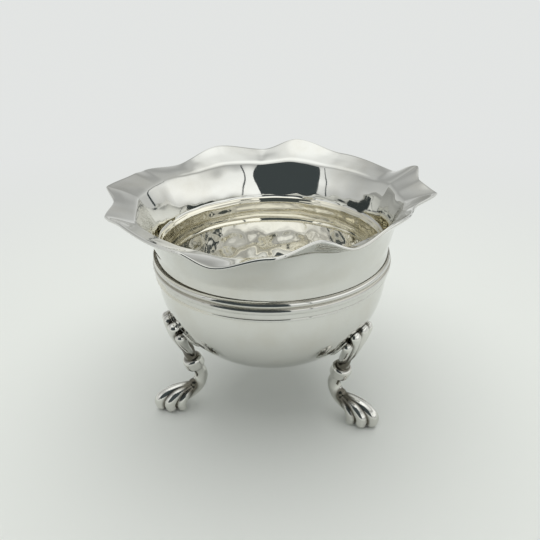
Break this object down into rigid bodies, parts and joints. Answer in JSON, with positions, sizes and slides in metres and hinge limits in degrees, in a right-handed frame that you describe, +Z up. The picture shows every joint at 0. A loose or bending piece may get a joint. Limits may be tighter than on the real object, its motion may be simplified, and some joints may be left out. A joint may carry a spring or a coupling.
{
  "type": "salt cellar",
  "caption": "Open salt cellar in polished silver: round-bottomed bowl with girdle moulding and flared ruffled lip, standing on cast legs with fluted knees and paw feet.",
  "frame": {"origin": "on the table, under the centre of the bowl", "axes": "+Z up along the bowl's axis, +Y towards the rear leg, the two front legs on either side of -Y"},
  "size_m": [0.0771, 0.0763, 0.0585],
  "materials": {
    "sheet_silver": "hand-polished sterling sheet, mirror bright with fine scratches",
    "drawn_silver": "polished drawn sterling wire",
    "cast_silver": "polished sterling casting, darker in the hollows",
    "hard_solder": "dull silver solder, hidden in the joints"
  },
  "bodies": {
    "root": {"bowl": "sheet_silver", "neck_collar": "sheet_silver", "girdle_moulding": "drawn_silver", "front_left_leg": "cast_silver", "front_right_leg": "cast_silver", "rear_leg": "cast_silver", "collar_solder": "hard_solder", "girdle_solder": "hard_solder", "front_left_solder": "hard_solder", "front_right_solder": "hard_solder", "rear_solder": "hard_solder"}
  },
  "joints": []
}
